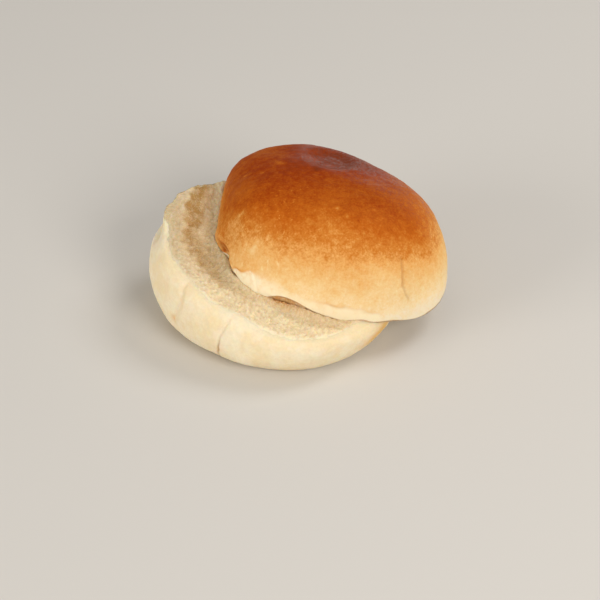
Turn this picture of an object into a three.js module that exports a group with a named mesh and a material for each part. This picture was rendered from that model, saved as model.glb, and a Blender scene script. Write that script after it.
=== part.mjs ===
// A soft white bread roll, cut in two along a slanted plane, with its top half
// slid to the right and back over the edge of the bottom half.
// Millimetres, +Z up. The origin is the centre of the flat base that the roll rests on.
// Both halves come from one dough form: a plan outline of a few waves, an elliptic curve from
// the flat base out to the widest level, and a fuller curve from there up to the crown.

import * as THREE from 'three';

// ---- Driving dimensions ----

// waves: [count round the roll, share along cosine, share along sine] of the mean radius
const BOTTOM_DOUGH = {
  radius: 49.6,
  widestLevel: 19.1,
  baseShare: 0.752,
  crownLevel: 59.9,
  shoulderPower: 2.93,
  crownPower: 2.0,
  waves: [[2, 0.048, -0.025], [3, -0.02, 0.036]],
};
const TOP_DOUGH = {
  radius: 47.1,
  widestLevel: 16.5,
  baseShare: 0.752,
  crownLevel: 60.1,
  shoulderPower: 3.32,
  crownPower: 2.36,
  waves: [[1, 0.111, 0.07], [2, 0.072, -0.054], [3, 0.061, 0.024]],
};

// The cut: a plane that falls to the right and rises to the back
const CUT_LEVEL = 28.3;
const CUT_RISE_RIGHT = -0.181;
const CUT_RISE_BACK = 0.134;
const CUT_HOLLOW = 4.0;
const CUT_HOLLOW_POWER = 2.5;

// How the top half lies: slid along the cut, turned on it, then tipped
const TOP_SLIDE_RIGHT = 12.0;
const TOP_SLIDE_BACK = 12.7;
const TOP_LIFT = -1.0;
const TOP_TURN_DEG = -20.2;
const TOP_TIP_RIGHT_DEG = 1.5;
const TOP_TIP_BACK_DEG = -0.3;
const TOP_CLEARANCE = 0.6;
const REST_SLOPE = 0.6;

// Uneven dough: soft swellings of the skin and lumps of the torn crumb
const SKIN_SWELL = 0.35;
const SKIN_SWELL_LENGTH = 34;
const SKIN_SWELL_SEED = 3;
const CRUMB_LUMP = 0.45;
const CRUMB_LUMP_LENGTH = 15;
const CRUMB_LUMP_SEED = 5;
const SWELL_WAVES = 9;
const BASE_FADE_HEIGHT = 7;

// The sunken spot on the crown
const DIMPLE_RIGHT = 1;
const DIMPLE_BACK = 17;
const DIMPLE_RADIUS = 13.5;
const DIMPLE_DEPTH = 2.2;
const DIMPLE_MIN_LEVEL = 50;

// Rows below: [angle in degrees, spread in degrees, amount in mm]

// The rims, raised or lowered where the tear wandered
const TOP_RIM_LIFTS = [[-127, 5, 3.2], [-101, 6, -3.8], [-82, 10, 3.4], [-46, 7, -1], [-30, 6, 1.2]];
const BOTTOM_RIM_LIFTS = [[146, 12, 2.6], [164, 5, 1.6], [108, 12, -1.4]];
const RIM_LIFT_REACH = 9;

// The side of the top half just above its rim, pushed out or pulled in
const TOP_RIM_BULGES = [[-147, 7, 1.8], [180, 11, -1.2], [-113, 9, 1.2]];
const TOP_RIM_BULGE_REACH = 14;

// The torn band of pale crumb under the front edge of the top crust
const BAND_FROM_DEG = -120;
const BAND_TO_DEG = -34;
const BAND_SOFT_DEG = 6;
const BAND_HEIGHT = 6.2;
const BAND_STEP = 0.9;
const BAND_SOFT = 1.2;

// The bottom half's skin rolls in over the rim of the cut face, and less so where it fades;
// the amounts of the fades are shares of the inset
const LIP_INSET = 2.2;
const LIP_REACH = 6;
const LIP_SAG_SHARE = 0.4;
const LIP_DROP = 1.2;
const LIP_FROM_SHARE = 0.93;
const LIP_FADES = [[120, 35, 0.9]];

// The side of the bottom half: folds down it, bulges low down, and at the left a hollow high up
// with the edge of the crumb standing out over it
const BOTTOM_FOLDS = [[-121, 2.4, 1.1], [-149, 4.5, 0.5], [-62, 7, 0.4]];
const BOTTOM_BULGES = [[-150, 20, 1.6], [-111, 8, 1]];
const BULGE_TOP_LEVEL = 26;
const SIDE_HOLLOWS = [[169, 9, 2.6]];
const HOLLOW_FROM_LEVEL = 16;
const HOLLOW_TO_LEVEL = 33;
const RIM_EDGES = [[166, 6, 1.3]];
const RIM_EDGE_REACH = 5;

// Mesh density: cells across each disc, rows up each wall, and where the crown disc begins
const DISC_CELLS = 26;
const BOTTOM_ROWS = 15;
const TOP_ROWS = 17;
const CROWN_SHARE = 0.8;
const BISECTIONS = 40;

const TAU = Math.PI * 2;
const GOLDEN_ANGLE = Math.PI * (3 - Math.sqrt(5));

// ---- Small helpers ----

function smoothstep(from, to, value) {
  const share = THREE.MathUtils.clamp((value - from) / (to - from), 0, 1);
  return share * share * (3 - 2 * share);
}

/** Degrees from one direction to another, between -180 and 180. */
function turnBetween(angle, degrees) {
  const turn = THREE.MathUtils.radToDeg(angle) - degrees;
  return turn - 360 * Math.round(turn / 360);
}

function bell(value, spread) {
  return Math.exp(-0.5 * (value / spread) ** 2);
}

/** A sum of bells round the roll, from rows of [degrees, spread, amount]. */
function bellsRound(rows, angle) {
  let sum = 0;
  for (const [degrees, spread, amount] of rows) {
    sum += amount * bell(turnBetween(angle, degrees), spread);
  }
  return sum;
}

/** Soft bumps of one size in every direction, about -2 to 2. */
function swell(point, length, seed) {
  let sum = 0;
  for (let index = 0; index < SWELL_WAVES; index += 1) {
    const rise = (2 * index + 1) / SWELL_WAVES - 1;
    const flat = Math.sqrt(1 - rise * rise);
    const turn = GOLDEN_ANGLE * (index + seed);
    const along = flat * (point.x * Math.cos(turn) + point.y * Math.sin(turn)) + point.z * rise;
    sum += Math.sin((TAU * along) / length + turn * seed);
  }
  return sum / Math.sqrt(SWELL_WAVES);
}

function polar(radius, angle, level) {
  return new THREE.Vector3(radius * Math.cos(angle), radius * Math.sin(angle), level);
}

// ---- The dough form ----

function planRadius(dough, angle) {
  let share = 1;
  for (const [count, cosine, sine] of dough.waves) {
    share += cosine * Math.cos(count * angle) + sine * Math.sin(count * angle);
  }
  return dough.radius * share;
}

/** Level of the upper curve where the radius is this share of the plan radius. */
function upperLevel(dough, share) {
  const height = dough.crownLevel - dough.widestLevel;
  return dough.widestLevel + height * (1 - share ** dough.shoulderPower) ** (1 / dough.crownPower);
}

/** A point of the whole roll's skin, from the flat base at -90 to the crown at 90 degrees. */
function skinPoint(dough, angle, latitude) {
  const radius = planRadius(dough, angle);
  const across = Math.cos(latitude);
  if (latitude >= 0) {
    const share = across ** (2 / dough.shoulderPower);
    return polar(radius * share, angle, upperLevel(dough, share));
  }
  const share = dough.baseShare + (1 - dough.baseShare) * across;
  return polar(radius * share, angle, dough.widestLevel * (1 + Math.sin(latitude)));
}

/** The direction straight out of the skin. */
function skinNormal(dough, point) {
  const angle = Math.atan2(point.y, point.x);
  const radius = planRadius(dough, angle);
  const share = Math.hypot(point.x, point.y) / radius;
  let out;
  let up;
  if (point.z >= dough.widestLevel) {
    const height = dough.crownLevel - dough.widestLevel;
    const rise = (point.z - dough.widestLevel) / height;
    out = (dough.shoulderPower * share ** (dough.shoulderPower - 1)) / radius;
    up = (dough.crownPower * rise ** (dough.crownPower - 1)) / height;
  } else {
    const reach = 1 - dough.baseShare;
    out = (share - dough.baseShare) / (reach * reach * radius);
    up = -(dough.widestLevel - point.z) / dough.widestLevel ** 2;
  }
  return polar(out, angle, up).normalize();
}

function cutLevel(x, y) {
  return CUT_LEVEL + CUT_RISE_RIGHT * x + CUT_RISE_BACK * y;
}

/** Latitude at which the skin meets the cut. */
function rimLatitude(dough, angle) {
  let low = -TAU / 4;
  let high = TAU / 4;
  for (let step = 0; step < BISECTIONS; step += 1) {
    const middle = (low + high) / 2;
    const point = skinPoint(dough, angle, middle);
    if (point.z > cutLevel(point.x, point.y)) {
      high = middle;
    } else {
      low = middle;
    }
  }
  return (low + high) / 2;
}

function aboveCut(point) {
  return point.z - cutLevel(point.x, point.y);
}

// ---- The bottom half ----

/** How far the side stands out of the dough form, along its normal. */
function reliefOfBottom(point, angle) {
  const swelling = SKIN_SWELL * swell(point, SKIN_SWELL_LENGTH, SKIN_SWELL_SEED);
  const low = smoothstep(BULGE_TOP_LEVEL, 0, point.z);
  const high = smoothstep(HOLLOW_FROM_LEVEL, HOLLOW_TO_LEVEL, point.z);
  const bulge = low * bellsRound(BOTTOM_BULGES, angle);
  const hollow = high * bellsRound(SIDE_HOLLOWS, angle);
  const relief = swelling + bulge - hollow - bellsRound(BOTTOM_FOLDS, angle);
  return relief * smoothstep(0, BASE_FADE_HEIGHT, point.z);
}

function bottomWall(angle, share) {
  const rim = rimLatitude(BOTTOM_DOUGH, angle);
  const point = skinPoint(BOTTOM_DOUGH, angle, THREE.MathUtils.lerp(-TAU / 4, rim, share));
  const below = -aboveCut(point);
  const roll = LIP_INSET * Math.max(0, 1 - below / LIP_REACH) ** 2;
  const edge = smoothstep(RIM_EDGE_REACH, 0, below) * bellsRound(RIM_EDGES, angle);
  const inset = roll * (1 - bellsRound(LIP_FADES, angle)) - edge;
  const lift = smoothstep(RIM_LIFT_REACH, 0, below) * bellsRound(BOTTOM_RIM_LIFTS, angle);
  point.addScaledVector(skinNormal(BOTTOM_DOUGH, point), reliefOfBottom(point, angle));
  point.sub(polar(inset, angle, LIP_SAG_SHARE * inset - lift));
  return point;
}

/** The torn cut face: up from the rolled lip, hollow in the middle, lumpy away from the rim. */
function bottomCrumb(share, angle) {
  const rim = bottomWall(angle, 1);
  const x = rim.x * share;
  const y = rim.y * share;
  const rimOffset = rim.z - cutLevel(rim.x, rim.y) + LIP_DROP * smoothstep(1, LIP_FROM_SHARE, share);
  const hollow = CUT_HOLLOW * (1 - share ** CUT_HOLLOW_POWER);
  const point = new THREE.Vector3(x, y, cutLevel(x, y) + rimOffset * share ** 4 - hollow);
  const inside = 1 - share ** 6;
  point.z += inside * CRUMB_LUMP * swell(point, CRUMB_LUMP_LENGTH, CRUMB_LUMP_SEED);
  return point;
}

function bottomBase(share, angle) {
  return polar(share * BOTTOM_DOUGH.baseShare * planRadius(BOTTOM_DOUGH, angle), angle, 0);
}

/** Level that the top half may sink to: the cut face, and a slope that falls away past its rim. */
function restLevel(x, y) {
  const angle = Math.atan2(y, x);
  const rim = bottomWall(angle, 1);
  const reach = Math.hypot(rim.x, rim.y);
  const share = Math.hypot(x, y) / reach;
  return share > 1 ? rim.z - REST_SLOPE * (share - 1) * reach : bottomCrumb(share, angle).z;
}

// ---- The top half ----

const cutNormal = new THREE.Vector3(-CUT_RISE_RIGHT, -CUT_RISE_BACK, 1).normalize();

const topTurn = new THREE.Group();
topTurn.quaternion.setFromAxisAngle(cutNormal, THREE.MathUtils.degToRad(TOP_TURN_DEG));

const topTip = new THREE.Group();
const tipBack = THREE.MathUtils.degToRad(TOP_TIP_BACK_DEG);
const tipRight = THREE.MathUtils.degToRad(TOP_TIP_RIGHT_DEG);
topTip.rotation.set(tipBack, tipRight, 0, 'XYZ');
topTip.position.set(
  TOP_SLIDE_RIGHT,
  TOP_SLIDE_BACK,
  cutLevel(TOP_SLIDE_RIGHT, TOP_SLIDE_BACK) + TOP_LIFT,
);
topTip.add(topTurn);

/** From the top half's own dough frame to the roll's frame. */
function topMatrix() {
  topTip.updateMatrixWorld(true);
  const toPivot = new THREE.Matrix4().makeTranslation(0, 0, -CUT_LEVEL);
  return topTurn.matrixWorld.clone().multiply(toPivot);
}

const topToRoll = topMatrix();
const rollToTop = topToRoll.clone().invert();

/** Raises a point of the top half's underside clear of the bottom half's crumb. */
function clearOfBottom(point) {
  const placed = point.clone().applyMatrix4(topToRoll);
  placed.z = Math.max(placed.z, restLevel(placed.x, placed.y) + TOP_CLEARANCE);
  return placed.applyMatrix4(rollToTop);
}

/** 1 along the front where the crust ends above a band of crumb, 0 elsewhere. */
function bandShare(angle) {
  const degrees = turnBetween(angle, 0);
  const begins = smoothstep(BAND_FROM_DEG - BAND_SOFT_DEG, BAND_FROM_DEG + BAND_SOFT_DEG, degrees);
  const ends = smoothstep(BAND_TO_DEG + BAND_SOFT_DEG, BAND_TO_DEG - BAND_SOFT_DEG, degrees);
  return begins * ends;
}

function dimpleDepth(point) {
  const away = Math.hypot(point.x - DIMPLE_RIGHT, point.y - DIMPLE_BACK) / DIMPLE_RADIUS;
  return point.z < DIMPLE_MIN_LEVEL ? 0 : DIMPLE_DEPTH * smoothstep(1, 0.35, away);
}

function reliefOfTop(point, angle) {
  const band = bandShare(angle);
  const edge = BAND_HEIGHT * band;
  const step = BAND_STEP * band * smoothstep(edge + BAND_SOFT, edge - BAND_SOFT, aboveCut(point));
  const swelling = SKIN_SWELL * swell(point, SKIN_SWELL_LENGTH, SKIN_SWELL_SEED + 1);
  return swelling - step - dimpleDepth(point);
}

function raiseSkin(point, angle) {
  const height = aboveCut(point);
  const bulge = smoothstep(TOP_RIM_BULGE_REACH, 0, height) * bellsRound(TOP_RIM_BULGES, angle);
  const lift = smoothstep(RIM_LIFT_REACH, 0, height) * bellsRound(TOP_RIM_LIFTS, angle);
  point.addScaledVector(skinNormal(TOP_DOUGH, point), reliefOfTop(point, angle));
  point.add(polar(bulge, angle, lift));
  return point;
}

function topWall(angle, share) {
  const rim = rimLatitude(TOP_DOUGH, angle);
  const crown = Math.acos(CROWN_SHARE ** (TOP_DOUGH.shoulderPower / 2));
  const point = skinPoint(TOP_DOUGH, angle, THREE.MathUtils.lerp(rim, crown, share));
  return raiseSkin(point, angle);
}

function topCrown(share, angle) {
  const reach = CROWN_SHARE * share;
  const level = upperLevel(TOP_DOUGH, reach);
  return raiseSkin(polar(reach * planRadius(TOP_DOUGH, angle), angle, level), angle);
}

/** The underside: hollow like the face it was torn from, and resting clear of it. */
function topCrumb(share, angle) {
  const rim = topWall(angle, 0);
  const x = rim.x * share;
  const y = rim.y * share;
  const rimOffset = (rim.z - cutLevel(rim.x, rim.y)) * share ** 4;
  const hollow = CUT_HOLLOW * (1 - share ** CUT_HOLLOW_POWER);
  const point = new THREE.Vector3(x, y, cutLevel(x, y) + rimOffset + hollow);
  return clearOfBottom(point);
}

// ---- Meshes ----

/** A square grid pulled out into a disc: share and angle of each point, its cells and its rim. */
function discGrid(cells) {
  const points = [];
  const quads = [];
  const rim = [];
  for (let row = 0; row <= cells; row += 1) {
    for (let column = 0; column <= cells; column += 1) {
      const across = (2 * column) / cells - 1;
      const along = (2 * row) / cells - 1;
      const share = Math.max(Math.abs(across), Math.abs(along));
      let angle = 0;
      if (share > 0 && Math.abs(across) >= Math.abs(along)) {
        angle = (TAU / 8) * (along / across) + (across < 0 ? TAU / 2 : 0);
      } else if (share > 0) {
        angle = TAU / 4 - (TAU / 8) * (across / along) + (along < 0 ? TAU / 2 : 0);
      }
      if (share === 1) {
        rim[Math.round((4 * cells * angle) / TAU + 4 * cells) % (4 * cells)] = points.length;
      }
      if (row < cells && column < cells) {
        const corner = points.length;
        quads.push([corner, corner + 1, corner + cells + 2, corner + cells + 1]);
      }
      points.push({ share, angle });
    }
  }
  return { points, quads, rim };
}

/** One closed skin: a lower disc, a wall of rings and an upper disc that share their rims. */
function closedForm(rows, lowerAt, wallAt, upperAt) {
  const grid = discGrid(DISC_CELLS);
  const vertices = [];
  const faces = [];
  const add = (point) => vertices.push(point) - 1;
  const quad = ([a, b, c, d]) => faces.push(a, b, c, a, c, d);

  const lower = grid.points.map(({ share, angle }) => add(lowerAt(share, angle)));
  const rings = [grid.rim.map((id) => lower[id])];
  for (let row = 1; row < rows; row += 1) {
    rings.push(grid.rim.map((id) => add(wallAt(grid.points[id].angle, row / rows))));
  }
  const upper = grid.points.map(({ share, angle }) => add(upperAt(share, angle)));
  rings.push(grid.rim.map((id) => upper[id]));

  for (const [a, b, c, d] of grid.quads) {
    quad([lower[d], lower[c], lower[b], lower[a]]);
    quad([upper[a], upper[b], upper[c], upper[d]]);
  }
  for (let row = 0; row < rows; row += 1) {
    const ring = rings[row];
    const next = rings[row + 1];
    for (let index = 0; index < ring.length; index += 1) {
      const after = (index + 1) % ring.length;
      quad([ring[index], ring[after], next[after], next[index]]);
    }
  }

  const geometry = new THREE.BufferGeometry();
  geometry.setFromPoints(vertices);
  geometry.setIndex(faces);
  geometry.computeVertexNormals();
  return geometry;
}

function bottomHalf() {
  const material = new THREE.MeshStandardMaterial({ color: 0xeedcb4, roughness: 0.85, metalness: 0 });
  const geometry = closedForm(BOTTOM_ROWS, bottomBase, bottomWall, bottomCrumb);
  const mesh = new THREE.Mesh(geometry, material);
  mesh.name = 'bottom_half';
  return mesh;
}

function topHalf() {
  const material = new THREE.MeshStandardMaterial({ color: 0xb4622c, roughness: 0.45, metalness: 0 });
  const geometry = closedForm(TOP_ROWS, topCrumb, topWall, topCrown);
  const mesh = new THREE.Mesh(geometry, material);
  mesh.name = 'top_half';
  mesh.position.set(0, 0, -CUT_LEVEL);
  return mesh;
}

const roll = new THREE.Group();
topTurn.add(topHalf());
roll.add(bottomHalf(), topTip);

export default roll;
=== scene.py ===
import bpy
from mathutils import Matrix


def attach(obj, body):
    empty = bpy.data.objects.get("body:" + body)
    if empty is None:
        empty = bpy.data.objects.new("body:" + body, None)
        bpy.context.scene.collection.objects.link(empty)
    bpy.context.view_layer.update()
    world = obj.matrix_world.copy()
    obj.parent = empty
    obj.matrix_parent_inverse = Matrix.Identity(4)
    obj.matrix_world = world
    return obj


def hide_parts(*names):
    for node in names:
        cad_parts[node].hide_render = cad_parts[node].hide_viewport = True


bl_info = {
    "name": "Sliced Bread Roll",
    "version": (1, 0, 0),
    "blender": (4, 5, 0),
    "location": "View3D > Sidebar > Bread Roll",
    "description": "A soft round bread roll cut across on a slant, its browned top half slid off",
    "category": "Object",
}

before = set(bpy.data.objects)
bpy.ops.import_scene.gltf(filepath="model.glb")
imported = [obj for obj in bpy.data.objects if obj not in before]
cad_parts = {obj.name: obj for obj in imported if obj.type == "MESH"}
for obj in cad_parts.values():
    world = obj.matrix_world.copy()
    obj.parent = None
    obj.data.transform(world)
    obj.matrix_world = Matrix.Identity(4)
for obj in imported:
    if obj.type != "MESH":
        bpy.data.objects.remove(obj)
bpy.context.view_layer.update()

import math

import bpy
import numpy as np
from mathutils import Vector

BODY = "root"
BOTTOM_NODE = "bottom_half"
TOP_NODE = "top_half"

TAU = 2 * math.pi
GOLDEN_ANGLE = math.pi * (3 - math.sqrt(5))
MM = 0.001

# ---- The dough form, in millimetres ----
# The halves, the cut, the slide and the rims' lifts are those of the solids. The folds, the rim's
# edge and the gap between the halves differ a little from theirs. The nicks, the touches, the
# creases, the fold, the ripples, the uneven edge of the crust and the top half's crumb hanging
# into the face below it are only here.

BOTTOM_DOUGH = {
    "radius": 49.6, "widest": 19.1, "base": 0.752, "crown": 59.9, "shoulder": 2.93, "power": 2.0,
    "waves": [(2, 0.048, -0.025), (3, -0.02, 0.036)],
}
TOP_DOUGH = {
    "radius": 47.1, "widest": 16.5, "base": 0.752, "crown": 60.1, "shoulder": 3.32, "power": 2.36,
    "waves": [(1, 0.111, 0.07), (2, 0.072, -0.054), (3, 0.061, 0.024)],
}
CUT_LEVEL, CUT_RISE_RIGHT, CUT_RISE_BACK = 28.3, -0.181, 0.134
CUT_HOLLOW, CUT_HOLLOW_POWER = 4.0, 2.5
CUT_NORMAL = np.array([-CUT_RISE_RIGHT, -CUT_RISE_BACK, 1.0])
CUT_NORMAL /= np.linalg.norm(CUT_NORMAL)

TOP_SLIDE_RIGHT, TOP_SLIDE_BACK, TOP_LIFT = 12.0, 12.7, -1.0
TOP_TURN_DEG, TOP_TIP_RIGHT_DEG, TOP_TIP_BACK_DEG = -20.2, 1.5, -0.3
TOP_CLEARANCE, REST_SLOPE = 0.5, 0.6

SKIN_SWELL, SKIN_SWELL_LENGTH, SKIN_SWELL_SEED = 0.35, 34, 3
CRUMB_LUMP, CRUMB_LUMP_LENGTH, CRUMB_LUMP_SEED = 0.45, 15, 5
SWELL_WAVES = 9
BASE_FADE_HEIGHT = 7
CROWN_SHARE = 0.8
RIM_HALVINGS = 40
RIM_POWER, LUMP_FADE_POWER = 4, 6

# Fine ripples: height and length in mm, seed
BOTTOM_RIPPLES = [(0.09, 7.3, 11), (0.05, 3.1, 7)]
TOP_RIPPLES = [(0.07, 9.1, 13), (0.04, 3.7, 8)]
FACE_RIPPLES = [(0.1, 2.3, 3), (0.1, 4.1, 5)]

# Rows of (degrees round the half, spread in degrees, amount in mm)
TOP_RIM_LIFTS = [(-127, 5, 3.2), (-101, 6, -3.8), (-82, 10, 3.4), (-46, 7, -1.0), (-30, 6, 1.2)]
BOTTOM_RIM_LIFTS = [(146, 12, 2.6), (164, 5, 1.6), (108, 12, -1.4)]
RIM_LIFT_REACH = 9
TOP_RIM_BULGES = [(-147, 7, 1.8), (180, 11, -1.2), (-113, 9, 1.2)]
TOP_RIM_BULGE_REACH = 14
BOTTOM_FOLDS = [(-149, 4.5, 0.3), (-62, 7, 0.4)]
BOTTOM_BULGES = [(-150, 20, 1.6), (-111, 8, 1.0)]
BULGE_TOP_LEVEL = 26
SIDE_HOLLOWS = [(169, 9, 2.6)]
HOLLOW_FROM_LEVEL, HOLLOW_TO_LEVEL = 16, 33
RIM_EDGES = [(166, 6, 1.3), (163, 3, 0.7)]
RIM_EDGE_REACH = 5

# A nick under the torn rim and, with a depth below 0, the swelling under it: degrees round,
# level in mm, degrees wide, mm tall, mm deep
RIM_NICKS = [(165, 33.0, 5, 1.5, 3.0), (167, 27.0, 8, 3.5, -1.3)]
LIP_INSET, LIP_REACH, LIP_SAG_SHARE, LIP_DROP, LIP_FROM_SHARE = 2.2, 6, 0.4, 1.2, 0.93
LIP_FADES = [(120, 35, 0.9)]
DIMPLE_RIGHT, DIMPLE_BACK, DIMPLE_RADIUS, DIMPLE_DEPTH, DIMPLE_MIN_LEVEL = 1, 17, 13.5, 2.2, 50
DIMPLE_FLOOR_SHARE = 0.35

# The edge of the crust above the torn band, as (degrees round the top half, mm above the cut)
CRUST_EDGE = [
    (-122, 0.0), (-119.8, 1.4), (-117, 2.6), (-112.8, 4.1), (-110, 5.1), (-106.8, 6.1),
    (-98.8, 6.6), (-87.5, 6.1), (-75.8, 5.3), (-70, 5.5), (-60.5, 5.8), (-56.5, 5.2),
    (-49.8, 6.0), (-42.2, 5.5), (-38.5, 4.5), (-34, 2.5), (-29, 0.0),
]
TATTER, TATTER_LENGTH, TATTER_SEED = 0.35, 5.0, 4
BAND_SOFT, BAND_FADE = 0.7, (0.4, 1.6)
BAND_STEPS = [
    (-122, 0.0), (-117, 0.7), (-109, 0.6), (-102, 0.15), (-66, 0.12), (-58, 0.5), (-36, 0.5),
    (-30, 0.0),
]

# Browner or paler places of the crust: where in mm, how far they reach, and how many mm
# further up the browning they look
BROWNING_SHIFT = -2.2
BROWNING_ROUND = [(100, 50, 3.5)]
BROWNING_PATCHES = [
    (-33, -11, 45, 20, 6.0), (-34, -17, 39, 9, 5.0), (-38, 9, 46, 8, 4.0), (44, -9, 50, 9, 4.3),
    (53, -8, 40, 5, 4.0), (13, -25, 55, 7, -4.0), (-27, -28, 32, 6, 6.0), (38, -31, 25, 5, 2.5),
    (24, -39, 31, 1.8, 4.0), (-13, -38, 33, 4, 3.6), (33, -33, 33, 2.2, 5.0),
    (41, -27, 35, 5, -3.5), (14, -39, 33, 4, -2.5), (57, -12, 18, 6, -4.0), (4, 22, 57, 11, 9.0),
    (18, 20, 56, 8, 4.0), (-11, -38.5, 41, 5, -2.0), (-24, -17, 54, 4, -4.0),
    (-25, -26, 43, 4, -4.5), (0, 30, 56, 16, 3.0),
]

# Small pale flecks painted as glints, and browner spots: x, y, z, reach in mm, mm of browning
PAINTED_GLINTS_AND_SPOTS = [
    (-17, 3, 59, 1.2, -7), (-15.5, 2, 59, 0.9, -7), (-18.5, 4.5, 59, 0.9, -6),
    (-18, 11, 58.6, 1.5, -5), (-28, -5, 53.5, 0.6, -12), (-21, -5.6, 57.2, 0.6, -8),
    (15.5, -18.5, 57.6, 0.6, -8), (20.6, -20.6, 56, 0.6, -9), (29, -12, 57, 0.5, -8),
    (28.7, -23, 52, 0.6, -8), (-22.3, -25.6, 47.6, 0.8, -9), (-21, -25.4, 49.2, 0.8, -6),
    (-19.6, -25.3, 50.6, 0.7, -3), (-15.3, -22.7, 54.9, 4, 2.5), (-12.4, -36.1, 38.5, 0.8, -5),
    (-11.9, -35.8, 40, 0.9, -6), (-11.5, -35.4, 41.5, 0.9, -6), (-11.1, -34.5, 43.3, 0.7, -5),
    (-23.5, -22.3, 49.6, 3, 3), (-14, -27.8, 50.5, 4, -2.5),
]

# Slight fullness and flats of the crown: x, y, z in mm, reach in mm, mm out
TOP_TOUCHES = [
    (-36.5, 8, 47.5, 7, 1.2), (-25, 15, 56.5, 6, -0.7), (-16, 17.5, 58.5, 9, -0.8),
    (31, 10.5, 57.5, 12, -0.7),
]

# Toasted spots on the pale skin: degrees round, level in mm, degrees wide, mm tall, strength
TOASTED_SPOTS = [(-31, 10.5, 5, 3, 1.0), (-39, 8, 5, 2.2, 0.8), (-152, 12.5, 1.2, 1.2, 0.7)]

# Creases: points of (degrees round, level in mm), depth in mm, half width in mm
BOTTOM_CREASES = [
    ([(-115.9, 25), (-117.2, 22), (-119.5, 18), (-121, 14), (-122, 10.5), (-124, 5)], 0.55, 0.33),
    ([(-147.8, 31), (-146, 24.6), (-149, 18), (-152.5, 12)], 0.75, 0.9),
]
TOP_CREASES = [
    ([(-24.2, 42), (-25.5, 37), (-25.8, 33), (-25.0, 29.4), (-23.6, 26.8)], 0.55, 0.33),
    ([(-103.4, 30.6), (-101.5, 28.0), (-99.6, 25.8), (-98.2, 24.4)], 0.3, 0.5),
]
CREASE_FADE = 2.5
CREASE_WANDER, CREASE_WANDER_LENGTH = 0.5, 3.75

# The dark fold that opens just above the torn edge at the left of the top half
FOLD_FROM_DEG, FOLD_TO_DEG, FOLD_DEPTH, FOLD_HALF_WIDTH = -154, -127, 1.3, 0.65
FOLD_SOFT_DEG = 4
FOLD_HEIGHTS = [(-152, 0.7), (-144, 1.2), (-137, 2.3), (-133, 2.2), (-129, 1.3), (-126, 0.9)]


def smoothstep(start, stop, value):
    share = np.clip((value - start) / (stop - start), 0, 1)
    return share * share * (3 - 2 * share)


def turn_between(angle, degrees):
    """Degrees from one direction to another, between -180 and 180."""
    turn = np.degrees(angle) - degrees
    return turn - 360 * np.round(turn / 360)


def bell(value):
    return np.exp(-0.5 * value ** 2)


def bells_round(rows, angle):
    total = np.zeros_like(angle)
    for degrees, spread, amount in rows:
        total += amount * bell(turn_between(angle, degrees) / spread)
    return total


def along_rows(rows, degrees):
    """Reads a table of (degrees, value) between its rows."""
    return np.interp(degrees, *np.transpose(rows))


def spots_round(rows, points, angle):
    """Soft spots on a side: rows of (degrees round, level, degrees wide, mm tall, amount)."""
    total = np.zeros_like(angle)
    for degrees, level, wide, tall, amount in rows:
        away = (turn_between(angle, degrees) / wide) ** 2 + ((points[..., 2] - level) / tall) ** 2
        total += amount * np.exp(-0.5 * away)
    return total


def patches(rows, points):
    """Soft balls in space: rows of (x, y, z, reach, amount)."""
    total = np.zeros(points.shape[:-1])
    for x, y, z, reach, amount in rows:
        total += amount * bell(np.linalg.norm(points - (x, y, z), axis=-1) / reach)
    return total


def angle_of(points):
    return np.arctan2(points[..., 1], points[..., 0])


def reach_of(points):
    return np.hypot(points[..., 0], points[..., 1])


def ripples(rows, points):
    """Fine swells: rows of (height, length, seed)."""
    return sum(height * swell(points, length, seed) for height, length, seed in rows)


def swell(points, length, seed):
    """Soft bumps of one size in every direction, about -2 to 2."""
    total = np.zeros(points.shape[:-1])
    for index in range(SWELL_WAVES):
        rise = (2 * index + 1) / SWELL_WAVES - 1
        flat = math.sqrt(1 - rise * rise)
        turn = GOLDEN_ANGLE * (index + seed)
        sideways = points[..., 0] * math.cos(turn) + points[..., 1] * math.sin(turn)
        along = flat * sideways + points[..., 2] * rise
        total += np.sin(TAU * along / length + turn * seed)
    return total / math.sqrt(SWELL_WAVES)


def polar(radius, angle, level):
    return np.stack([radius * np.cos(angle), radius * np.sin(angle), level + 0 * radius], -1)


def plan_radius(dough, angle):
    share = 1
    for count, cosine, sine in dough["waves"]:
        share = share + cosine * np.cos(count * angle) + sine * np.sin(count * angle)
    return dough["radius"] * share


def upper_level(dough, share):
    height = dough["crown"] - dough["widest"]
    full = np.clip(1 - share ** dough["shoulder"], 0, 1)
    return dough["widest"] + height * full ** (1 / dough["power"])


def skin_point(dough, angle, latitude):
    """A point of the whole roll's skin, from the flat base at -90 to the crown at 90 degrees."""
    across = np.clip(np.cos(latitude), 0, 1)
    upper = across ** (2 / dough["shoulder"])
    share = np.where(latitude >= 0, upper, dough["base"] + (1 - dough["base"]) * across)
    lower_level = dough["widest"] * (1 + np.sin(latitude))
    level = np.where(latitude >= 0, upper_level(dough, upper), lower_level)
    return polar(plan_radius(dough, angle) * share, angle, level)


def skin_normal(dough, points):
    angle = angle_of(points)
    radius = plan_radius(dough, angle)
    share = reach_of(points) / radius
    height = dough["crown"] - dough["widest"]
    rise = np.clip((points[..., 2] - dough["widest"]) / height, 0, 1)
    reach = 1 - dough["base"]
    upper = points[..., 2] >= dough["widest"]
    out_upper = dough["shoulder"] * share ** (dough["shoulder"] - 1) / radius
    out_lower = (share - dough["base"]) / (reach * reach * radius)
    up_upper = dough["power"] * rise ** (dough["power"] - 1) / height
    up_lower = -(dough["widest"] - points[..., 2]) / dough["widest"] ** 2
    out = np.where(upper, out_upper, out_lower)
    normal = polar(out, angle, np.where(upper, up_upper, up_lower))
    return normal / np.linalg.norm(normal, axis=-1, keepdims=True)


def cut_level(x, y):
    return CUT_LEVEL + CUT_RISE_RIGHT * x + CUT_RISE_BACK * y


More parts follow.
